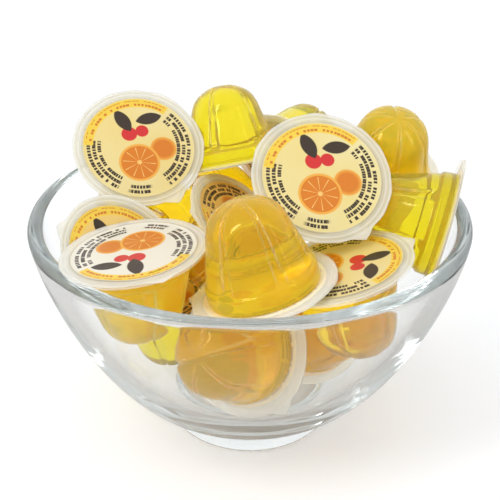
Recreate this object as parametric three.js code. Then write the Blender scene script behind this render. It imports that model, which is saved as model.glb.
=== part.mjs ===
// A footed glass bowl heaped with seventeen sealed jelly cups. Each cup is a fluted bell
// of clear plastic full of jelly, closed at its wide end by a round film lid.
// Millimetres, +Z up, origin at the centre of the bowl's foot.
import * as THREE from 'three';

// bowl
const bowlRadius = 80;          // outside, at the rim's widest circle
const rimHeight = 87;           // of that circle above the table
const rimThickness = 5.5;
const footRadius = 33.8;
const footHeight = 7.4;
const floorHeight = 12.5;       // top of the thick glass base
const floorRadius = 14.5;
const bowlSegments = 44;

// jelly cup, from its lid (height 0) to the top of its bell
const flangeRadius = 23.7;
const flangeThickness = 1.0;
const collarRadius = 18.7;
const collarHeight = 5.6;
const bellLength = 30.7;
const fluteCount = 6;
const fluteDepth = 0.9;
const fluteTurn = 7;            // degrees from the lid's tab to the nearest flute
const cupSegments = 24;

// film lid
const lidRadius = 23.9;
const lidThickness = 0.4;
const lidGap = 0.3;             // between the film and the flange
const tabLength = 2.6;          // corner of the film that is pulled to open it
const tabHalfAngle = 11;        // degrees

// Where each cup lies: the centre of its lid, how far its bell leans from straight up,
// the heading that the bell points to, counted from +X towards +Y, and the turn of the
// cup about its own axis. Lengths in mm, angles in degrees.
const pile = [
  { at: [-40.5, 8, 108.5], lean: 139, heading: 106, turn: 336 },   // back left, lid out
  { at: [-6, 26, 94.5], lean: 23, heading: 118, turn: 66 },        // back, bell up
  { at: [14, 43.5, 88], lean: 71, heading: 59, turn: 23 },         // back, on its side
  { at: [24, -20.5, 109], lean: 139, heading: 100, turn: 335 },    // top right, lid out
  { at: [50, 19, 93.5], lean: 29, heading: -79, turn: 163 },       // back right, bell up
  { at: [67.7, -18, 89.4], lean: 80, heading: 165, turn: 20 },     // right, on its side
  { at: [4.5, -50, 84], lean: 16, heading: 164, turn: 5 },         // front, bell up
  { at: [-37, -42.5, 93], lean: 174, heading: -18, turn: 225 },    // front left, lid up
  { at: [-47, -15, 75], lean: 95, heading: 72, turn: 109 },        // left, under the one above
  { at: [-2.5, -4.5, 82.5], lean: 138, heading: 164, turn: 135 },  // middle, lid right
  { at: [29, -43.5, 88], lean: 165, heading: -11, turn: 155 },     // front right, lid up
  { at: [-2.5, -37, 52], lean: 62, heading: -120, turn: 53 },      // low at the front
  { at: [25, -7.5, 41], lean: 57, heading: -67, turn: 198 },       // low at the right
  { at: [-35, -3.5, 51.5], lean: 175, heading: 33, turn: 179 },    // low at the left, lid up
  { at: [4.5, 17.5, 39], lean: 83, heading: 133, turn: 23 },       // low in the middle
  { at: [-4, 39, 59.5], lean: 50, heading: 129, turn: 92 },        // low at the back, bell up
  { at: [-46, 39, 67.5], lean: 79, heading: -42, turn: 12 },       // back left, on its side
];

const glass = { color: 0xe4ebe8, roughness: 0.05, metalness: 0 };
const yellowJelly = { color: 0xe6cc2e, roughness: 0.12, metalness: 0 };
const orangeJelly = { color: 0xe0a626, roughness: 0.12, metalness: 0 };
const film = { color: 0xf3e6b4, roughness: 0.3, metalness: 0 };
const orangeCups = [7, 8, 9, 10, 11, 12, 13, 15, 16];

const radians = THREE.MathUtils.degToRad;

function turned(points, segments) {
  const geometry = new THREE.LatheGeometry(
    points.map(([r, z]) => new THREE.Vector2(r, z)), segments);
  return geometry.rotateX(Math.PI / 2);
}

// The outside swells quickly above the foot and stands nearly upright at the rim.
function outsideRadius(z) {
  const rise = (z - 6) / (rimHeight - 6);
  return 19.6 + (bowlRadius - 19.6) * (1 - (1 - rise) ** 1.314) ** (1 / 2.137);
}

function insideRadius(z) {
  const rise = (z - floorHeight) / (rimHeight - floorHeight);
  const rimInside = bowlRadius - rimThickness;
  return floorRadius + (rimInside - floorRadius) * (1 - (1 - rise) ** 1.31) ** (1 / 2.3);
}

function bowlGeometry() {
  const points = [[0, 0], [footRadius - 1, 0], [footRadius, 0.9], [footRadius - 1.4, 4],
    [footRadius - 2.6, footHeight]];
  for (const z of [10, 14, 20, 28, 38, 50, 63, 76, rimHeight]) points.push([outsideRadius(z), z]);
  for (const angle of [45, 90, 135]) {
    points.push([bowlRadius - rimThickness / 2 * (1 - Math.cos(radians(angle))),
      rimHeight + rimThickness / 2 * Math.sin(radians(angle))]);
  }
  for (const z of [rimHeight, 76, 63, 50, 38, 28, 20, 15.5, 13.2]) points.push([insideRadius(z), z]);
  points.push([floorRadius, floorHeight], [0, floorHeight]);
  return turned(points, bowlSegments);
}

// Height above the lid and radius, from the lid's side of the flange to the bell's top.
const cupProfile = [
  [0, 0], [flangeRadius, 0], [flangeRadius, flangeThickness],
  [collarRadius, flangeThickness + 0.2], [collarRadius - 0.4, collarHeight], [17.4, 6.3],
  [16.4, 11.1], [14.6, 17.1], [13.4, 21.7], [11.7, 25.5], [8.9, 28.2], [5.0, 30.1],
  [2.0, bellLength], [0, bellLength],
];

// Six flutes run down the bell, shallow at its top and deepest near the collar.
function cupGeometry() {
  const geometry = turned(cupProfile, cupSegments);
  const position = geometry.attributes.position;
  for (let i = 0; i < position.count; i += 1) {
    const x = position.getX(i), y = position.getY(i), z = position.getZ(i);
    const radius = Math.hypot(x, y);
    if (z < collarHeight + 2 || radius < 3) continue;
    const around = Math.atan2(y, x) * fluteCount / (2 * Math.PI);
    const offset = Math.abs(around - Math.round(around));
    const depth = fluteDepth * Math.max(0, 1 - offset * 4) * Math.min(1, radius / 10);
    position.setXYZ(i, x * (1 - depth / radius), y * (1 - depth / radius), z);
  }
  return geometry;
}

function lidGeometry() {
  const outline = [];
  for (let i = 0; i < cupSegments; i += 1) {
    const angle = 2 * Math.PI * i / cupSegments;
    if (i === 0) {
      for (const side of [-tabHalfAngle, 0, tabHalfAngle]) {
        const reach = lidRadius + (side === 0 ? tabLength : 0.4);
        outline.push(new THREE.Vector2(
          reach * Math.cos(radians(side)), reach * Math.sin(radians(side))));
      }
    } else {
      outline.push(new THREE.Vector2(lidRadius * Math.cos(angle), lidRadius * Math.sin(angle)));
    }
  }
  return new THREE.ExtrudeGeometry(new THREE.Shape(outline),
    { depth: lidThickness, bevelEnabled: false });
}

const group = new THREE.Group();

const bowl = new THREE.Mesh(bowlGeometry(), new THREE.MeshStandardMaterial(glass));
bowl.name = 'bowl';
group.add(bowl);

const up = new THREE.Vector3(0, 0, 1);
pile.forEach(({ at, lean, heading, turn }, index) => {
  const number = String(index + 1).padStart(2, '0');
  const pack = new THREE.Group();
  pack.position.set(...at);
  pack.quaternion
    .setFromAxisAngle(up, radians(heading))
    .multiply(new THREE.Quaternion().setFromAxisAngle(new THREE.Vector3(0, 1, 0), radians(lean)))
    .multiply(new THREE.Quaternion().setFromAxisAngle(up, radians(turn)));

  const jelly = orangeCups.includes(index + 1) ? orangeJelly : yellowJelly;
  const cup = new THREE.Mesh(cupGeometry(), new THREE.MeshStandardMaterial(jelly));
  cup.name = `cup_${number}`;
  cup.rotation.z = radians(fluteTurn);
  pack.add(cup);

  const lid = new THREE.Mesh(lidGeometry(), new THREE.MeshStandardMaterial(film));
  lid.name = `lid_${number}`;
  lid.position.z = -lidGap - lidThickness;
  pack.add(lid);
  group.add(pack);
});

export default group;
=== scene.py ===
import math
import bpy
import numpy as np
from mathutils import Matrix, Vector


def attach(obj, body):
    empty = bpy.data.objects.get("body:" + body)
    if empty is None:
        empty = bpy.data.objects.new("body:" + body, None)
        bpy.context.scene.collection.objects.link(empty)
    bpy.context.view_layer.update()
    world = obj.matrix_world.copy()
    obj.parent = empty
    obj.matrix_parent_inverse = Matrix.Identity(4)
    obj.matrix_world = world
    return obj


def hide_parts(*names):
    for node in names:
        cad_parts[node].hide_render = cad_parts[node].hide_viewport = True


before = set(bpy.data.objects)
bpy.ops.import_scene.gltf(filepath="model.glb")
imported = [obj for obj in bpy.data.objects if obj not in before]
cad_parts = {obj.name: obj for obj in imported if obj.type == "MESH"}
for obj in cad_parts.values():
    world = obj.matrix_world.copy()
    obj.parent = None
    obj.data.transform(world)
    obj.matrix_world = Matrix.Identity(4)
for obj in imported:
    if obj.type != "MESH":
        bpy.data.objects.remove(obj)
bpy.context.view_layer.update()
mm = 0.001
print("frame loaded:", len(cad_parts), "nodes")


# One math node. Each value is a number or the socket that it comes from.
def calc(tree, operation, *values):
    node = tree.nodes.new("ShaderNodeMath")
    node.operation = operation
    for socket, value in zip(node.inputs, values):
        if isinstance(value, (int, float)):
            socket.default_value = value
        else:
            tree.links.new(value, socket)
    return node.outputs[0]


def clamped(tree, value):
    node = tree.nodes.new("ShaderNodeClamp")
    tree.links.new(value, node.inputs[0])
    return node.outputs[0]


# 0 at start, 1 at end and a straight line between them.
def ramp(tree, value, start, end):
    slope = 1 / (end - start)
    return clamped(tree, calc(tree, "MULTIPLY_ADD", value, slope, -start * slope))


# The same with a soft start and a soft end.
def softRamp(tree, value, start, end):
    node = tree.nodes.new("ShaderNodeMapRange")
    node.interpolation_type = "SMOOTHSTEP"
    node.inputs["From Min"].default_value = start
    node.inputs["From Max"].default_value = end
    tree.links.new(value, node.inputs["Value"])
    return node.outputs[0]


def blendColor(tree, mask, below, above):
    node = tree.nodes.new("ShaderNodeMix")
    node.data_type = "RGBA"
    for socket, value in zip((node.inputs[0], node.inputs[6], node.inputs[7]), (mask, below, above)):
        if isinstance(value, bpy.types.NodeSocket):
            tree.links.new(value, socket)
        else:
            socket.default_value = (*value, 1) if isinstance(value, tuple) else value
    return node.outputs[2]


def noise(tree, place, scale, detail):
    node = tree.nodes.new("ShaderNodeTexNoise")
    node.inputs["Detail"].default_value = detail
    tree.links.new(place, node.inputs["Vector"])
    if isinstance(scale, (int, float)):
        node.inputs["Scale"].default_value = scale
    else:
        tree.links.new(scale, node.inputs["Scale"])
    return node.outputs["Fac"]


def readLayer(tree, name):
    node = tree.nodes.new("ShaderNodeUVMap")
    node.uv_map = name
    return node.outputs[0]


def apart(tree, place):
    node = tree.nodes.new("ShaderNodeSeparateXYZ")
    tree.links.new(place, node.inputs[0])
    return node.outputs


def both(tree, *masks):
    result = masks[0]
    for mask in masks[1:]:
        result = calc(tree, "MULTIPLY", result, mask)
    return result


def either(tree, *masks):
    result = masks[0]
    for mask in masks[1:]:
        result = calc(tree, "MAXIMUM", result, mask)
    return result


def without(tree, mask, cut):
    return calc(tree, "MULTIPLY", mask, calc(tree, "SUBTRACT", 1.0, cut))


def newGroup(name, inputs, outputs):
    tree = bpy.data.node_groups.new(name, "ShaderNodeTree")
    for label, kind, start in inputs:
        socket = tree.interface.new_socket(label, in_out="INPUT", socket_type=kind)
        socket.default_value = start
    for label, kind in outputs:
        tree.interface.new_socket(label, in_out="OUTPUT", socket_type=kind)
    return tree, tree.nodes.new("NodeGroupInput"), tree.nodes.new("NodeGroupOutput")


def newMaterial(name, settings):
    material = bpy.data.materials.new(name)
    material.use_nodes = True
    shader = material.node_tree.nodes["Principled BSDF"]
    for label, value in settings.items():
        shader.inputs[label].default_value = value
    return material, material.node_tree, shader


# Slow unevenness of moulded glass, plastic and jelly, as a height in metres.
def makeRippleGroup():
    tree, given, result = newGroup(
        "softRipple",
        [("Size", "NodeSocketFloat", 0.02), ("Height", "NodeSocketFloat", 0.0001)],
        [("Height", "NodeSocketFloat")],
    )
    place = tree.nodes.new("ShaderNodeTexCoord")
    scale = calc(tree, "DIVIDE", 1.0, given.outputs["Size"])
    waves = noise(tree, place.outputs["Object"], scale, detail=1.5)
    height = calc(tree, "MULTIPLY", waves, given.outputs["Height"])
    tree.links.new(height, result.inputs["Height"])
    return tree


softRipple = makeRippleGroup()


# size and height in metres
def addRipple(tree, shader, size, height):
    ripple = tree.nodes.new("ShaderNodeGroup")
    ripple.node_tree = softRipple
    ripple.inputs["Size"].default_value = size
    ripple.inputs["Height"].default_value = height
    bump = tree.nodes.new("ShaderNodeBump")
    bump.inputs["Distance"].default_value = 1.0
    tree.links.new(ripple.outputs["Height"], bump.inputs["Height"])
    tree.links.new(bump.outputs["Normal"], shader.inputs["Normal"])


def addAbsorption(tree, color, density):
    depth = tree.nodes.new("ShaderNodeVolumeAbsorption")
    depth.inputs["Color"].default_value = color
    depth.inputs["Density"].default_value = density
    tree.links.new(depth.outputs[0], tree.nodes["Material Output"].inputs["Volume"])


# Turns a profile of (radius, height) round the Z axis. It starts and ends on the axis and runs
# so that the solid lies on its left. shape moves each point by its angle.
def turnedPoints(profile, segments, shape=None):
    rings = np.array(profile[1:-1], float)
    angles = np.arange(segments) * 2 * math.pi / segments
    radius = np.repeat(rings[:, :1], segments, axis=1)
    height = np.repeat(rings[:, 1:], segments, axis=1)
    turn = np.repeat(angles[None, :], len(rings), axis=0)
    if shape is not None:
        radius, height = shape(radius, height, turn)
    points = np.stack([radius * np.cos(turn), radius * np.sin(turn), height], -1).reshape(-1, 3)
    points = np.vstack([points, [[0, 0, profile[0][1]], [0, 0, profile[-1][1]]]])
    first, last = len(points) - 2, len(points) - 1
    top = (len(rings) - 1) * segments
    faces = []
    for j in range(segments):
        k = (j + 1) % segments
        faces.append((first, k, j))
        faces.append((last, top + j, top + k))
    for i in range(len(rings) - 1):
        a, b = i * segments, (i + 1) * segments
        for j in range(segments):
            k = (j + 1) % segments
            faces.append((a + j, a + k, b + k, b + j))
    return points, faces


# A smooth curve through all of the points.
def smoothLine(points, steps):
    ends = np.vstack([2 * points[0] - points[1], points, 2 * points[-1] - points[-2]])
    line = []
    for i in range(1, len(ends) - 2):
        p0, p1, p2, p3 = ends[i - 1:i + 3]
        for t in np.arange(steps) / steps:
            line.append(0.5 * (2 * p1 + (p2 - p0) * t + (2 * p0 - 5 * p1 + 4 * p2 - p3) * t * t
                               + (3 * p1 - p0 - 3 * p2 + p3) * t ** 3))
    line.append(points[-1])
    return [tuple(p) for p in line]


cornerSteps = 4


def roundedCorner(before, corner, after, radius):
    before, corner, after = (np.array(p, float) for p in (before, corner, after))
    start = corner + (before - corner) / np.linalg.norm(before - corner) * radius
    end = corner + (after - corner) / np.linalg.norm(after - corner) * radius
    return [tuple((1 - t) ** 2 * start + 2 * t * (1 - t) * corner + t * t * end)
            for t in np.arange(cornerSteps + 1) / cornerSteps]


def addPiece(name, points, faces, material, node):
    mesh = bpy.data.meshes.new(name)
    mesh.from_pydata(points.tolist(), [], faces)
    mesh.materials.append(material)
    mesh.shade_smooth()
    piece = bpy.data.objects.new(name, mesh)
    bpy.context.scene.collection.objects.link(piece)
    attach(piece, "root")
    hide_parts(node)
    return piece


# A UV layer with one place for each point of the mesh.
def addLayer(piece, name, places):
    layer = piece.data.uv_layers.new(name=name)
    corners = np.zeros(len(piece.data.loops), int)
    piece.data.loops.foreach_get("vertex_index", corners)
    layer.data.foreach_set("uv", places[corners].astype(np.float32).ravel())


bowl = {
    "radius": 80 * mm,
    "rimHeight": 87 * mm,          # of the rim's widest circle
    "rimThickness": 5.5 * mm,
    "rimStep": 15,                 # degrees between the rings that round the rim
    "footRadius": 33.8 * mm,
    "footHeight": 7.4 * mm,
    "footTaper": 2.5 * mm,         # how far the foot's side leans in
    "footEdgeTaper": 2.6 * mm,     # the same just above its lower edge
    "footEdge": 0.8 * mm,
    "footTopEdge": 1.0 * mm,
    "waistHeight": 9.4 * mm,
    "waistRadius": 19.6 * mm,
    "swellStart": 6 * mm,          # height at which the outside starts to widen
    "outsideCurve": (1.314, 2.137),
    "floorHeight": 12.5 * mm,
    "floorRadius": 14.5 * mm,
    "insideCurve": (1.31, 2.3),
    "insideSpacing": 1.4,          # the inside's rings lie closer together near the floor
    "lowestInside": 0.02,
    "floorRings": ((0.93, 0.02 * mm), (0.6, 0), (0, 0)),    # share of its radius, and rise
    "rings": 44,
    "segments": 192,
    "tint": (0.985, 0.992, 0.988, 1),
    "mirrorTint": (0.3, 0.3, 0.3, 1),
    "depthColor": (0.80, 0.83, 0.83, 1),
    "depthDensity": 10,
    "ripple": (0.03, 0.00012),
}


# How far the wall has widened at a share of its height, from 0 to 1.
def widened(share, curve):
    return (1 - (1 - share) ** curve[0]) ** (1 / curve[1])


def bowlOutside(z):
    share = (z - bowl["swellStart"]) / (bowl["rimHeight"] - bowl["swellStart"])
    grow = bowl["radius"] - bowl["waistRadius"]
    return bowl["waistRadius"] + grow * widened(share, bowl["outsideCurve"])


def bowlInside(z):
    share = (z - bowl["floorHeight"]) / (bowl["rimHeight"] - bowl["floorHeight"])
    grow = bowl["radius"] - bowl["rimThickness"] - bowl["floorRadius"]
    return bowl["floorRadius"] + grow * widened(share, bowl["insideCurve"])


def bowlProfile():
    foot, footTop, waist = bowl["footRadius"], bowl["footHeight"], bowl["waistHeight"]
    rim, half, low = bowl["rimHeight"], bowl["rimThickness"] / 2, bowl["floorHeight"]
    middle, edge = (foot * 0.5, 0), (foot, 0)
    profile = [(0, 0), middle]
    profile += roundedCorner(middle, edge, (foot - bowl["footEdgeTaper"], footTop), bowl["footEdge"])
    profile += roundedCorner(edge, (foot - bowl["footTaper"], footTop), (bowlOutside(waist), waist),
                             bowl["footTopEdge"])
    profile += [(bowlOutside(z), z) for z in np.linspace(waist, rim, bowl["rings"])]
    for angle in np.radians(np.arange(bowl["rimStep"], 180, bowl["rimStep"])):
        profile.append((bowl["radius"] - half * (1 - math.cos(angle)), rim + half * math.sin(angle)))
    for share in np.linspace(1, bowl["lowestInside"], bowl["rings"]):
        z = low + (rim - low) * share ** bowl["insideSpacing"]
        profile.append((bowlInside(z), z))
    return profile + [(bowl["floorRadius"] * share, low + rise) for share, rise in bowl["floorRings"]]


def makeBowl():
    material, tree, shader = newMaterial("clearGlass", {
        "Base Color": bowl["tint"], "Roughness": 0.0, "IOR": 1.5, "Transmission Weight": 1.0,
        "Specular Tint": bowl["mirrorTint"]})
    addRipple(tree, shader, *bowl["ripple"])
    addAbsorption(tree, bowl["depthColor"], bowl["depthDensity"])
    points, faces = turnedPoints(bowlProfile(), bowl["segments"])
    addPiece("bowl_glass", points, faces, material, "bowl")


makeBowl()
print("bowl made")


# Where each cup lies, the same as the solids: the centre of its lid in mm, how far its bell leans
# from straight up, the heading the bell points to, its turn about its own axis, and its jelly.
heap = {
    "01": {"at": (-40.5, 8, 108.5), "lean": 139, "heading": 106, "turn": 336, "jelly": "yellow"},
    "02": {"at": (-6, 26, 94.5), "lean": 23, "heading": 118, "turn": 66, "jelly": "yellow"},
    "03": {"at": (14, 43.5, 88), "lean": 71, "heading": 59, "turn": 23, "jelly": "yellow"},
    "04": {"at": (24, -20.5, 109), "lean": 139, "heading": 100, "turn": 335, "jelly": "yellow"},
    "05": {"at": (50, 19, 93.5), "lean": 29, "heading": -79, "turn": 163, "jelly": "golden"},
    "06": {"at": (67.7, -18, 89.4), "lean": 80, "heading": 165, "turn": 20, "jelly": "yellow"},
    "07": {"at": (4.5, -50, 84), "lean": 16, "heading": 164, "turn": 5, "jelly": "amber"},
    "08": {"at": (-37, -42.5, 93), "lean": 174, "heading": -18, "turn": 225, "jelly": "golden"},
    "09": {"at": (-47, -15, 75), "lean": 95, "heading": 72, "turn": 109, "jelly": "orange"},
    "10": {"at": (-2.5, -4.5, 82.5), "lean": 138, "heading": 164, "turn": 135, "jelly": "orange"},
    "11": {"at": (29, -43.5, 88), "lean": 165, "heading": -11, "turn": 155, "jelly": "orange"},
    "12": {"at": (-2.5, -37, 52), "lean": 62, "heading": -120, "turn": 53, "jelly": "orange"},
    "13": {"at": (25, -7.5, 41), "lean": 57, "heading": -67, "turn": 198, "jelly": "orange"},
    "14": {"at": (-35, -3.5, 51.5), "lean": 175, "heading": 33, "turn": 179, "jelly": "yellow"},
    "15": {"at": (4.5, 17.5, 39), "lean": 83, "heading": 133, "turn": 23, "jelly": "orange"},
    "16": {"at": (-4, 39, 59.5), "lean": 50, "heading": 129, "turn": 92, "jelly": "orange"},
    "17": {"at": (-46, 39, 67.5), "lean": 79, "heading": -42, "turn": 12, "jelly": "paintedLitYellow"},
}
hiddenCups = ("15",)    # made with fewer segments


def turnAbout(axis, degrees):
    c, s = math.cos(math.radians(degrees)), math.sin(math.radians(degrees))
    if axis == "Z":
        return np.array([[c, -s, 0], [s, c, 0], [0, 0, 1]])
    return np.array([[c, 0, s], [0, 1, 0], [-s, 0, c]])


def placed(points, place):
    turn = turnAbout("Z", place["heading"]) @ turnAbout("Y", place["lean"]) @ turnAbout("Z", place["turn"])
    return points @ turn.T + np.array(place["at"]) * mm


cup = {
    "flangeRadius": 23.7 * mm,
    "flangeThickness": 0.9 * mm,
    "flangeRise": 0.2 * mm,        # the flange is this much thicker at the collar
    "flangeEdge": 0.3 * mm,
    "flangeLip": (2.2 * mm, 0.05 * mm),    # a ring this far in from the edge, and its rise
    "flangeWave": 0.132 * mm,
    "flangeWaves": (2, 3, 5, 8),
    "waveTop": 1.3 * mm,           # rings of the shell below this height follow the waves
    "bodyStart": 1.17 * mm,        # and those above this one belong to the bell's wall
    "collarRadius": 18.7 * mm,
    "collarHeight": 5.6 * mm,
    "collarTaper": 0.4 * mm,
    "collarFootEdge": 0.5 * mm,
    "collarEdge": 0.6 * mm,
    "bellLength": 30.7 * mm,
    "bell": [(17.4, 6.3), (17.1, 8.4), (16.4, 11.1), (14.6, 17.1), (13.4, 21.7), (11.7, 25.5),
             (8.9, 28.2), (5.0, 30.1), (2.0, 30.7)],    # radius and height in mm
    "bellSteps": 3,
    "wall": 0.45 * mm,
    "mouthEdge": 0.15 * mm,
    "flutes": 6,
    "fluteTurn": math.radians(7),    # from the film's tab to the nearest flute
    "fluteDepth": 0.9 * mm,
    "fluteStart": 1.0 * mm,        # above the collar
    "fluteRunIn": 1.2 * mm,
    "fluteWide": 1.9 * mm,         # half of a flute's width near the collar
    "fluteNarrow": 0.55 * mm,      # and near the bell's top
    "fluteNarrowing": (1.5 * mm, 22 * mm),    # where that starts above the collar, and its length
    "fluteSlope": 0.7,
    "fluteEdge": 0.6 * mm,
    "fluteFadeRadius": 9 * mm,     # the flutes grow shallow inside this radius
    "sideSwell": 0.18 * mm,
    "segments": 216,
    "hiddenSegments": 72,
}


def cupOutside():
    flange, thick, collar = cup["flangeRadius"], cup["flangeThickness"], cup["collarRadius"]
    collarFoot = (collar, thick + cup["flangeRise"])
    collarTop = (collar - cup["collarTaper"], cup["collarHeight"])
    lipIn, lipRise = cup["flangeLip"]
    bell = np.array(cup["bell"]) * mm
    line = roundedCorner((collar, 0), (flange, 0), (flange, thick), cup["flangeEdge"])
    line += roundedCorner((flange, 0), (flange, thick), collarFoot, cup["flangeEdge"])
    line += [(flange - lipIn, thick + lipRise)]
    line += roundedCorner((flange, thick), collarFoot, collarTop, cup["collarFootEdge"])
    line += roundedCorner((collar, thick), collarTop, bell[0], cup["collarEdge"])
    return line + smoothLine(bell, cup["bellSteps"])


# The line moved inwards by a distance.
def setBack(line, distance):
    line = np.array(line)
    along = np.gradient(line, axis=0)
    along /= np.linalg.norm(along, axis=1)[:, None]
    return [tuple(p) for p in line + np.stack([-along[:, 1], along[:, 0]], -1) * distance]


# How far a place lies into a flute, from 0 outside it to 1 on its floor, and the flutes' strength.
def fluteShare(radius, height, turn):
    spacing = 2 * math.pi / cup["flutes"]
    offset = np.abs((turn - cup["fluteTurn"] + spacing / 2) % spacing - spacing / 2) * radius
    above = height - cup["collarHeight"]
    start, length = cup["fluteNarrowing"]
    up = np.clip((above - start) / length, 0, 1)
    width = cup["fluteWide"] + (cup["fluteNarrow"] - cup["fluteWide"]) * up ** cup["fluteSlope"]
    floor = np.clip((width - offset) / cup["fluteEdge"] + 0.5, 0, 1)
    reach = np.clip((above - cup["fluteStart"]) / cup["fluteRunIn"], 0, 1)
    fade = np.clip(radius / cup["fluteFadeRadius"], 0, 1) ** cup["fluteSlope"]
    return floor, reach * fade


def fluted(radius, height, turn):
    floor, strength = fluteShare(radius, height, turn)
    deep = floor * floor * (3 - 2 * floor) * strength * cup["fluteDepth"]
    swell = cup["sideSwell"] * np.cos(cup["flutes"] * (turn - cup["fluteTurn"])) * strength
    return radius - deep - np.maximum(swell, 0)


# Slow waves of the flange, which the film on it follows.
def flangeLift(radius, turn, seed):
    rng = np.random.default_rng(seed)
    lift = 0
    for waves in cup["flangeWaves"]:
        size, phase = rng.uniform(0.2, 1) / waves ** 0.5, rng.uniform(0, 2 * math.pi)
        lift = lift + size * np.sin(waves * turn + phase)
    out = np.clip((radius - cup["collarRadius"]) / (cup["flangeRadius"] - cup["collarRadius"]), 0, 1.3)
    return lift * out ** 1.5 * cup["flangeWave"]


jelly = {
    "inWall": 0.2 * mm,            # how far under the cup's outer face the jelly ends
    "pastFlange": 0.12 * mm,       # how far it swells towards the film
    "edge": 0.3 * mm,
    "edgeHeight": 0.2 * mm,
    "mirrorTint": (1, 0.88, 0.4, 1),
    "ripple": (0.012, 0.0001),
}
# glowReach is how far light spreads in the jelly, in metres
jellyLooks = {
    "yellow": {
        "tint": (0.94, 0.86, 0.03, 1),
        "clearness": 0.86,
        "paintedGlow": 0.0,
        "glowReach": (0.012, 0.009, 0.002),
        "depthColor": (0.96, 0.90, 0.1, 1),
        "depthDensity": 60,
    },
    # a lit copy of the yellow jelly for 17: brighter tint, less absorption, more subsurface light and a
    # glow, as painted light in place of the light that the other cups keep from it
    "paintedLitYellow": {
        "tint": (1.0, 0.94, 0.06, 1),
        "clearness": 0.4,
        "paintedGlow": 0.22,              # painted light: a glow in place of the light that comes down to it between the other cups
        "glowReach": (0.012, 0.009, 0.002),
        "depthColor": (0.99, 0.95, 0.2, 1),
        "depthDensity": 30,
    },
    # golden in hue, and also lighter and less clear than the yellow, as painted light that makes up for the
    # light its neighbours keep from it
    "golden": {
        "tint": (1.0, 0.855, 0.03, 1),
        "clearness": 0.68,
        "paintedGlow": 0.0,
        "glowReach": (0.012, 0.009, 0.002),
        "depthColor": (0.995, 0.905, 0.1, 1),
        "depthDensity": 60,
    },
    "amber": {
        "tint": (0.985, 0.845, 0.02, 1),
        "clearness": 0.87,
        "paintedGlow": 0.0,
        "glowReach": (0.012, 0.008, 0.0015),
        "depthColor": (0.98, 0.885, 0.07, 1),
        "depthDensity": 60,
    },
    "orange": {
        "tint": (1.0, 0.81, 0.018, 1),
        "clearness": 0.84,
        "paintedGlow": 0.0,
        "glowReach": (0.012, 0.008, 0.0015),
        "depthColor": (0.99, 0.86, 0.06, 1),
        "depthDensity": 60,
    },
}


def makeShellPiece(number, place, outside, body, segments, material):
    node, top, seed = f"cup_{number}", cup["bellLength"], int(number)
    inner = setBack(body, cup["wall"])
    mouth, edge = inner[0][0], cup["mouthEdge"]

    def shaped(radius, height, turn):
        lift = np.where(height < cup["waveTop"], flangeLift(radius, turn, seed), 0)
        return fluted(radius, height, turn), height + lift

    profile = [(0, top - cup["wall"])] + inner[::-1] + [(mouth, edge), (mouth + edge, 0)]
    points, faces = turnedPoints(profile + outside + [(0, top)], segments, shaped)
    piece = addPiece(f"{node}_shell", placed(points, place), faces, material, node)
    radius, around = np.hypot(points[:, 0], points[:, 1]), np.arctan2(points[:, 1], points[:, 0])
    floor, strength = fluteShare(radius, points[:, 2], around)
    sides = 4 * floor * (1 - floor) * strength    # 1 on the sides of a flute
    addLayer(piece, "profile", np.stack([radius / cup["flangeRadius"], sides], -1))


def makeJellyPiece(number, place, body, segments, material):
    node, low = f"cup_{number}", -jelly["pastFlange"]
    fill = setBack(body, jelly["inWall"])
    edge = fill[0][0]
    profile = [(0, low), (edge * 0.5, low), (edge - jelly["edge"], low), (edge, jelly["edgeHeight"])]
    profile += fill + [(0, cup["bellLength"] - jelly["inWall"])]
    points, faces = turnedPoints(profile, segments, lambda r, h, t: (fluted(r, h, t), h))
    addPiece(f"{node}_jelly", placed(points, place), faces, material, node)


def makeCup(number, place, shellMaterial, jellyMaterials):
    segments = cup["hiddenSegments"] if number in hiddenCups else cup["segments"]
    outside = cupOutside()
    body = [p for p in outside if p[0] <= cup["collarRadius"] and p[1] > cup["bodyStart"]]
    makeShellPiece(number, place, outside, body, segments, shellMaterial)
    makeJellyPiece(number, place, body, segments, jellyMaterials[place["jelly"]])


def makeJelly(name, look):
    material, tree, shader = newMaterial(name, {
        "Base Color": look["tint"], "Roughness": 0.03, "IOR": 1.4, "Transmission Weight": look["clearness"],
        "Subsurface Weight": 0.5, "Subsurface Radius": look["glowReach"], "Subsurface Scale": 1.0,
        "Specular Tint": jelly["mirrorTint"],
        # painted light: the jelly glows by the strength that its look gives
        "Emission Color": look["tint"], "Emission Strength": look["paintedGlow"]})
    addRipple(tree, shader, *jelly["ripple"])
    addAbsorption(tree, look["depthColor"], look["depthDensity"])
    return material


# How much of the clear plastic shows, each part added to the one before.
plastic = {
    "color": (0.97, 0.97, 0.94, 1),
    "roughness": 0.1,
    "veil": 0.012,
    "edgeOnPaintedSheen": 0.2,             # painted sheen where it is seen edge on, in place of the reflection there
    "edgeOnPower": 4.0,
    "edgeOnBlend": 0.3,
    "paintedFluteHighlight": 0.11,             # painted highlight on the sides of the flutes
    "flangeVeil": 0.25,
    "flangeStart": (0.82, 0.87),   # share of the flange's radius
    "ripple": (0.008, 0.00004),
}


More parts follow.
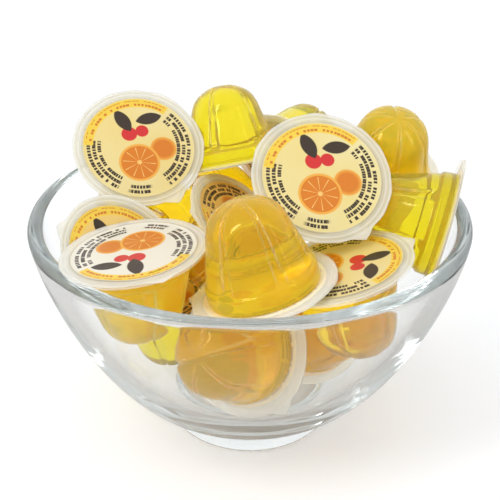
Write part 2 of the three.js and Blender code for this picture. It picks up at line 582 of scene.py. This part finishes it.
def makeShell():
    material, tree, shader = newMaterial("clearCupPlastic", {
        "Base Color": plastic["color"], "Roughness": plastic["roughness"], "IOR": 1.46})
    radius, fluteSides, _ = apart(tree, readLayer(tree, "profile"))
    flange = ramp(tree, radius, *plastic["flangeStart"])
    edgeOn = tree.nodes.new("ShaderNodeLayerWeight")
    edgeOn.inputs["Blend"].default_value = plastic["edgeOnBlend"]
    edgeOnShare = calc(tree, "POWER", edgeOn.outputs["Facing"], plastic["edgeOnPower"])
    # painted sheen: more of the veil where the plastic is seen edge on
    veil = calc(tree, "MULTIPLY_ADD", edgeOnShare, plastic["edgeOnPaintedSheen"], plastic["veil"])
    # painted highlight: more of the veil on the sides of the flutes
    veil = calc(tree, "MULTIPLY_ADD", fluteSides, plastic["paintedFluteHighlight"], veil)
    veil = calc(tree, "MULTIPLY_ADD", flange, plastic["flangeVeil"], veil)
    tree.links.new(veil, shader.inputs["Alpha"])
    addRipple(tree, shader, *plastic["ripple"])
    return material


shell = makeShell()
jellies = {name: makeJelly(name + "Jelly", look) for name, look in jellyLooks.items()}
for number, place in heap.items():
    makeCup(number, place, shell, jellies)
print("cups made:", len(heap))


lid = {
    "radius": 23.9 * mm,
    "thickness": 0.26 * mm,
    "clear": 0.02 * mm,            # between the film and the flange
    "outlineWaves": (6, 7, 11, 17),
    "outlineWave": 0.11 * mm,
    "tab": 2.3 * mm,
    "tabHalfAngle": math.radians(11),
    "tabShare": 0.9,               # the tab widens the film only outside this share of its radius
    "rings": (20.2 * mm, 22.2 * mm),
    "ringWidth": 0.35 * mm,
    "ringHeight": 0.16 * mm,
    "wrinkle": 0.12 * mm,
    "wrinkleTurn": 0.35,           # most radians of a wrinkle in each mm
    "bulge": 0.25 * mm,
    "bulgeShare": 0.75,            # of the radius
    "shares": [np.linspace(0.08, 0.74, 12), np.linspace(0.77, 0.985, 16), [1.0]],
    "segments": 144,
    "hiddenSegments": 72,
    "firstSeed": 100,
    # turn of the print in degrees
    "printTurn": {"01": 306, "02": 40, "03": 80, "04": 314, "05": 10, "06": 200, "07": 120, "08": 140,
                  "09": 162, "10": 72, "11": 134, "12": 20, "13": 70, "14": 48, "15": 0, "16": 250,
                  "17": 0},
    # 1 where jelly touches the film and shows through it, 0 where it is whitish, as where air lies behind
    # it; on 03 the whitening is painted light that makes up for the shade it lies in
    "tone": {"01": 0.54, "03": 0.0, "08": 0.15, "09": 0.75, "10": 0.9, "11": 0.56, "13": 1.0,
             "14": 0.8},
    "usualTone": 0.5,
    "insideShows": 0.6,            # how far the plain side covers the print
    "edgeClearness": 0.5,
    "ripple": (0.006, 0.00006),
}


def makeLid(number, place, material):
    node, seed, thick = f"lid_{number}", int(number), lid["thickness"]
    segments = lid["hiddenSegments"] if number in hiddenCups else lid["segments"]
    rng = np.random.default_rng(lid["firstSeed"] + seed)
    bumps = [(k, rng.uniform(0.3, 1), rng.uniform(0, 2 * math.pi)) for k in lid["outlineWaves"]]
    hills = [(rng.uniform(-1, 1, 2) * lid["wrinkleTurn"] / mm, rng.uniform(0, 2 * math.pi))
             for _ in range(5)]
    shares = np.concatenate(lid["shares"])

    # share is the radius as a share of the outline's
    def shaped(share, height, turn):
        wave = sum(size * np.sin(k * turn + phase) for k, size, phase in bumps)
        away = np.abs((turn + math.pi) % (2 * math.pi) - math.pi)
        tab = lid["tab"] * np.clip(1 - away / lid["tabHalfAngle"], 0, 1) * (share > lid["tabShare"])
        radius = share * (lid["radius"] + wave * lid["outlineWave"] + tab)
        x, y = radius * np.cos(turn), radius * np.sin(turn)
        ring = sum(np.exp(-((share * lid["radius"] - at) / lid["ringWidth"]) ** 2) for at in lid["rings"])
        hill = sum(np.sin(x * w[0] + y * w[1] + phase) for w, phase in hills) * lid["wrinkle"] / 3
        bulge = lid["bulge"] * np.clip(1 - (share / lid["bulgeShare"]) ** 2, 0, 1)
        isOuter = height < -thick / 2
        relief = np.where(isOuter, hill - ring * lid["ringHeight"] - bulge, 0)
        return radius, height + flangeLift(radius, turn, seed) + relief

    profile = [(0, -thick - lid["bulge"])] + [(s, -thick - lid["clear"]) for s in shares]
    profile += [(s, -lid["clear"]) for s in shares[::-1][1:]] + [(0, -lid["clear"])]
    points, faces = turnedPoints(profile, segments, shaped)
    piece = addPiece(f"{node}_film", placed(points, place), faces, material, node)
    flat = points[:, :2] * np.array([1, -1]) / lid["radius"]
    turn = turnAbout("Z", lid["printTurn"][number])[:2, :2]
    addLayer(piece, "print", flat @ turn.T * 0.5 + 0.5)
    outerPoints, innerPoints = len(shares) * segments, (len(shares) - 1) * segments
    inside = np.concatenate([np.zeros(outerPoints), np.ones(innerPoints), [0, 1]])
    tone = np.full(len(points), lid["tone"].get(number, lid["usualTone"]))
    addLayer(piece, "side", np.stack([inside, tone], -1))


# Lengths are shares of the film's radius. A field is its middle and half its width in degrees,
# and its lowest and highest radius.
lidPrint = {
    "paper": (0.71, 0.62, 0.31),
    "golden": (0.71, 0.55, 0.17),
    "spotScale": 1.6,
    "spotRange": (1 / 3, 0.75),
    "clear": (0.62, 0.59, 0.46),
    "groove": (0.50, 0.47, 0.35),
    "white": (0.80, 0.79, 0.73),
    "arc": (0.76, 0.53, 0.05),
    "arcMarks": (0.55, 0.16, 0.015),
    "ink": (0.035, 0.02, 0.01),
    "orange": (0.60, 0.175, 0.008),
    "orangeRim": (0.74, 0.36, 0.05),
    "orangeLines": (0.78, 0.48, 0.14),
    "red": (0.56, 0.02, 0.02),
    "jellyThrough": (0.72, 0.40, 0.05),
    # the whitish film where air lies behind it, also used as painted light on 03
    "airyAndPaintedLight": (0.72, 0.71, 0.70),
    "inside": (0.93, 0.90, 0.76),    # the film's plain side, towards the jelly
    "soft": 0.012,                   # width of an edge
    "fieldSoft": 0.02,               # softness of a field's two ends
    "wholeOrange": {"centre": (0.37, 0.0), "radius": 0.2, "inner": 0.17, "innerSoft": 0.06},
    "cutOrange": {"centre": (0.02, -0.27), "radius": 0.31, "inner": 0.275, "lines": 0.25,
                  "core": 0.035, "wedges": 10, "lineStart": 0.455},
    "berries": (((-0.16, 0.2), 0.12), ((0.03, 0.27), 0.10)),
    # the middle of a leaf, and the way from there to the centres of the two discs that bound it
    "leaves": (((-0.27, 0.42), (0.13, 0.10)), ((0.12, 0.5), (-0.06, 0.16))),
    "leafRadius": 0.27,
    "barFields": ((2, 52, 0.56, 0.80), (213, 36, 0.56, 0.80), (275, 13, 0.64, 0.80)),
    "bars": {"rows": 12.5, "perRadian": 15.0, "length": 0.58},
    "arcField": (122, 62, 0.69, 0.83),
    "arcBarField": (122, 59, 0.715, 0.805),
    "arcBars": {"rows": 8.9, "perRadian": 13.0, "length": 0.52},
    "arcBarShift": 0.017,
    "barHeight": (0.2, 0.86),        # share of a row
    "barSpread": 0.4,                # how much longer the longest bar is
    "barsLeftOut": 0.14,
    "rowShift": 3.7,
    "edgeStart": 0.845,
    "grooveRing": (0.85, 0.868),
    "whiteRing": (0.905, 0.925),
    "ringSoft": 0.02,
    "outerStart": 0.965,
    "outerSoft": 0.03,
}


def fromMiddle(tree, x, y):
    squares = calc(tree, "ADD", calc(tree, "MULTIPLY", x, x), calc(tree, "MULTIPLY", y, y))
    return calc(tree, "SQRT", squares)


# 1 inside the radius and 0 outside it, with a soft edge.
def within(tree, distance, radius, soft=lidPrint["soft"]):
    gap = calc(tree, "SUBTRACT", radius, distance)
    return clamped(tree, calc(tree, "ADD", calc(tree, "DIVIDE", gap, soft), 0.5))


def offset(tree, x, y, centre):
    return calc(tree, "SUBTRACT", x, centre[0]), calc(tree, "SUBTRACT", y, centre[1])


def disc(tree, x, y, centre, radius, soft=lidPrint["soft"]):
    return within(tree, fromMiddle(tree, *offset(tree, x, y, centre)), radius, soft)


def band(tree, r, low, high, soft=lidPrint["soft"]):
    return without(tree, within(tree, r, high, soft), within(tree, r, low, soft))


def field(tree, x, y, r, middle, half, low, high):
    a = math.radians(middle)
    dot = calc(tree, "ADD", calc(tree, "MULTIPLY", x, math.cos(a)), calc(tree, "MULTIPLY", y, math.sin(a)))
    gap = calc(tree, "SUBTRACT", calc(tree, "DIVIDE", dot, r), math.cos(math.radians(half)))
    sector = clamped(tree, calc(tree, "ADD", calc(tree, "DIVIDE", gap, lidPrint["fieldSoft"]), 0.5))
    return both(tree, sector, band(tree, r, low, high))


# Rows of short bars along arcs.
def dashes(tree, r, angle, bars):
    line = calc(tree, "MULTIPLY", r, bars["rows"])
    row, across = calc(tree, "FLOOR", line), calc(tree, "FRACT", line)
    low, high = lidPrint["barHeight"]
    inRow = both(tree, calc(tree, "GREATER_THAN", across, low), calc(tree, "LESS_THAN", across, high))
    along = calc(tree, "MULTIPLY", angle, bars["perRadian"])
    along = calc(tree, "ADD", along, calc(tree, "MULTIPLY", row, lidPrint["rowShift"]))
    place = tree.nodes.new("ShaderNodeCombineXYZ")
    tree.links.new(calc(tree, "FLOOR", along), place.inputs[0])
    tree.links.new(row, place.inputs[1])
    pick = tree.nodes.new("ShaderNodeTexWhiteNoise")
    pick.noise_dimensions = "2D"
    tree.links.new(place.outputs[0], pick.inputs["Vector"])
    length = calc(tree, "MULTIPLY_ADD", pick.outputs["Value"], lidPrint["barSpread"], bars["length"])
    shown = calc(tree, "LESS_THAN", calc(tree, "FRACT", along), length)
    kept = calc(tree, "GREATER_THAN", pick.outputs["Value"], lidPrint["barsLeftOut"])
    return both(tree, inRow, shown, kept)


# The pale lines between an orange's wedges, and its core.
def wedgeLines(tree, x, y, orange):
    dx, dy = offset(tree, x, y, orange["centre"])
    turns = calc(tree, "MULTIPLY", calc(tree, "ARCTAN2", dy, dx), orange["wedges"] / (2 * math.pi))
    fromEdge = calc(tree, "ABSOLUTE", calc(tree, "SUBTRACT", calc(tree, "FRACT", turns), 0.5))
    lines = calc(tree, "GREATER_THAN", fromEdge, orange["lineStart"])
    lines = both(tree, lines, disc(tree, x, y, orange["centre"], orange["lines"]))
    return either(tree, lines, disc(tree, x, y, orange["centre"], orange["core"]))


def leaf(tree, x, y, middle, way):
    centres = [(middle[0] + sign * way[0], middle[1] + sign * way[1]) for sign in (1, -1)]
    return both(tree, *[disc(tree, x, y, centre, lidPrint["leafRadius"]) for centre in centres])


def makePrintGroup():
    tree, given, result = newGroup(
        "fruitPrint",
        [("Touching", "NodeSocketFloat", 0), ("AiryAndPaintedLight", "NodeSocketFloat", 0)],
        [("Color", "NodeSocketColor"), ("Edge", "NodeSocketFloat")],
    )
    look = lidPrint
    place = readLayer(tree, "print")
    across, up, _ = apart(tree, place)
    x, y = calc(tree, "MULTIPLY_ADD", across, 2.0, -1.0), calc(tree, "MULTIPLY_ADD", up, 2.0, -1.0)
    r, angle = fromMiddle(tree, x, y), calc(tree, "ARCTAN2", y, x)

    tone = ramp(tree, noise(tree, place, look["spotScale"], detail=1.0), *look["spotRange"])
    color = blendColor(tree, tone, look["paper"], look["golden"])
    color = blendColor(tree, given.outputs["Touching"], color, look["jellyThrough"])
    color = blendColor(tree, given.outputs["AiryAndPaintedLight"], color, look["airyAndPaintedLight"])

    # a whole orange behind a cut one, two berries under two leaves, then bars and the arc
    whole, cut = look["wholeOrange"], look["cutOrange"]
    layers = [
        (disc(tree, x, y, whole["centre"], whole["radius"]), "orangeRim"),
        (disc(tree, x, y, whole["centre"], whole["inner"], whole["innerSoft"]), "orange"),
        (disc(tree, x, y, cut["centre"], cut["radius"]), "orangeRim"),
        (disc(tree, x, y, cut["centre"], cut["inner"]), "orange"),
        (wedgeLines(tree, x, y, cut), "orangeLines"),
    ]
    layers += [(disc(tree, x, y, centre, radius), "red") for centre, radius in look["berries"]]
    layers += [(leaf(tree, x, y, middle, way), "ink") for middle, way in look["leaves"]]
    barFields = either(tree, *[field(tree, x, y, r, *place) for place in look["barFields"]])
    layers.append((both(tree, dashes(tree, r, angle, look["bars"]), barFields), "ink"))
    layers.append((field(tree, x, y, r, *look["arcField"]), "arc"))
    arcBars = dashes(tree, calc(tree, "ADD", r, look["arcBarShift"]), angle, look["arcBars"])
    layers.append((both(tree, arcBars, field(tree, x, y, r, *look["arcBarField"])), "arcMarks"))
    for mask, paint in layers:
        color = blendColor(tree, mask, color, look[paint])

    # the clear edge with its pressed rings
    edge = calc(tree, "SUBTRACT", 1.0, within(tree, r, look["edgeStart"]))
    rim = blendColor(tree, given.outputs["AiryAndPaintedLight"], look["clear"], look["airyAndPaintedLight"])
    color = blendColor(tree, edge, color, rim)
    color = blendColor(tree, band(tree, r, *look["grooveRing"], look["ringSoft"]), color, look["groove"])
    color = blendColor(tree, band(tree, r, *look["whiteRing"], look["ringSoft"]), color, look["white"])
    outer = calc(tree, "SUBTRACT", 1.0, within(tree, r, look["outerStart"], look["outerSoft"]))
    color = blendColor(tree, outer, color, look["white"])
    tree.links.new(color, result.inputs["Color"])
    tree.links.new(edge, result.inputs["Edge"])
    return tree


def makeFilm():
    material, tree, shader = newMaterial("printedFilm", {"Roughness": 0.28, "IOR": 1.45})
    fruit = tree.nodes.new("ShaderNodeGroup")
    fruit.node_tree = makePrintGroup()
    inside, tone, _ = apart(tree, readLayer(tree, "side"))
    tree.links.new(ramp(tree, tone, 0.5, 1.0), fruit.inputs["Touching"])
    tree.links.new(ramp(tree, tone, 0.5, 0.0), fruit.inputs["AiryAndPaintedLight"])
    plain = calc(tree, "MULTIPLY", inside, lid["insideShows"])
    color = blendColor(tree, plain, fruit.outputs["Color"], lidPrint["inside"])
    tree.links.new(color, shader.inputs["Base Color"])
    solid = calc(tree, "MULTIPLY_ADD", fruit.outputs["Edge"], -lid["edgeClearness"], 1.0)
    tree.links.new(solid, shader.inputs["Alpha"])
    addRipple(tree, shader, *lid["ripple"])
    return material


film = makeFilm()
for number, place in heap.items():
    makeLid(number, place, film)
print("lids made:", len(heap))


studio = {
    "floorColor": (0.93, 0.95, 0.985),
    "floorMirrored": (0.6, 0.6, 0.6),    # the floor as it shows in glossy surfaces
    "floorSize": 6.0,              # from the middle to each side
    "floorHeight": -0.0003,
    "behind": (1.0, 1.0, 1.0),
    "behindStart": (-0.35, 0.25),
    "aboveStart": (0.45, 0.8),
    "front": (0.95, 0.95, 0.94),
    "frontMirrored": (0.42, 0.435, 0.44),
    "strength": 1.05,
    "aim": (0, 0, 0.08),
    "lights": {
        "keyLight": {"place": (-0.7, -0.5, 0.9), "size": (0.16, 0.7), "power": 4},
        "fillLight": {"place": (0.8, -0.4, 0.7), "size": (0.12, 0.7), "power": 1},
    },
    "bounces": {"most": 48, "diffuse": 8, "transparent": 24},
}
view = {
    "place": (0, -266.41 * mm, 216.23 * mm),
    "pitch": 28.774,               # degrees down
    "sensor": 36,
    "focalPixels": 800.32,
    "imagePixels": 500,
}


# 1 for what shines back from a glossy surface, 0 for what is seen directly or through glass.
def mirrorRays(tree):
    path = tree.nodes.new("ShaderNodeLightPath")
    return without(tree, path.outputs["Is Glossy Ray"], path.outputs["Is Transmission Ray"])


def makeFloor():
    mesh = bpy.data.meshes.new("floor")
    s, z = studio["floorSize"], studio["floorHeight"]
    mesh.from_pydata([(-s, -s, z), (s, -s, z), (s, s, z), (-s, s, z)], [], [(0, 1, 2, 3)])
    floor = bpy.data.objects.new("floor", mesh)
    material, tree, shader = newMaterial("paleFloor", {"Roughness": 0.9, "Specular IOR Level": 0.1})
    path = tree.nodes.new("ShaderNodeLightPath")
    mirrored = calc(tree, "GREATER_THAN", path.outputs["Glossy Depth"], 0.5)
    color = blendColor(tree, mirrored, studio["floorColor"], studio["floorMirrored"])
    tree.links.new(color, shader.inputs["Base Color"])
    mesh.materials.append(material)
    bpy.context.scene.collection.objects.link(floor)


def makeWorld():
    world = bpy.data.worlds.new("studio")
    bpy.context.scene.world = world
    world.use_nodes = True
    tree = world.node_tree
    background = tree.nodes["Background"]
    way = tree.nodes.new("ShaderNodeTexCoord")
    _, back, up = apart(tree, way.outputs["Generated"])
    behind, above = softRamp(tree, back, *studio["behindStart"]), softRamp(tree, up, *studio["aboveStart"])
    front = blendColor(tree, mirrorRays(tree), studio["front"], studio["frontMirrored"])
    color = blendColor(tree, either(tree, behind, above), front, studio["behind"])
    tree.links.new(color, background.inputs["Color"])
    background.inputs["Strength"].default_value = studio["strength"]


def makeLight(name, place, size, power):
    light = bpy.data.lights.new(name, "AREA")
    light.shape = "RECTANGLE"
    light.size, light.size_y = size
    light.energy = power
    lamp = bpy.data.objects.new(name, light)
    lamp.location = place
    bpy.context.scene.collection.objects.link(lamp)
    way = Vector(studio["aim"]) - Vector(place)
    lamp.rotation_euler = way.to_track_quat("-Z", "Y").to_euler()


def makeCamera():
    data = bpy.data.cameras.new("camera")
    data.sensor_width = view["sensor"]
    data.lens = view["sensor"] * view["focalPixels"] / view["imagePixels"]
    camera = bpy.data.objects.new("camera", data)
    camera.location = view["place"]
    camera.rotation_euler = (math.radians(90 - view["pitch"]), 0, 0)
    bpy.context.scene.collection.objects.link(camera)
    bpy.context.scene.camera = camera


makeFloor()
makeWorld()
for name, light in studio["lights"].items():
    makeLight(name, light["place"], light["size"], light["power"])
makeCamera()
scene = bpy.context.scene
scene.view_settings.view_transform = "Standard"
scene.cycles.blur_glossy = 0
scene.cycles.max_bounces = studio["bounces"]["most"]
scene.cycles.transmission_bounces = studio["bounces"]["most"]
scene.cycles.glossy_bounces = studio["bounces"]["most"]
scene.cycles.diffuse_bounces = studio["bounces"]["diffuse"]
scene.cycles.transparent_max_bounces = studio["bounces"]["transparent"]
print("stage, light and camera made")
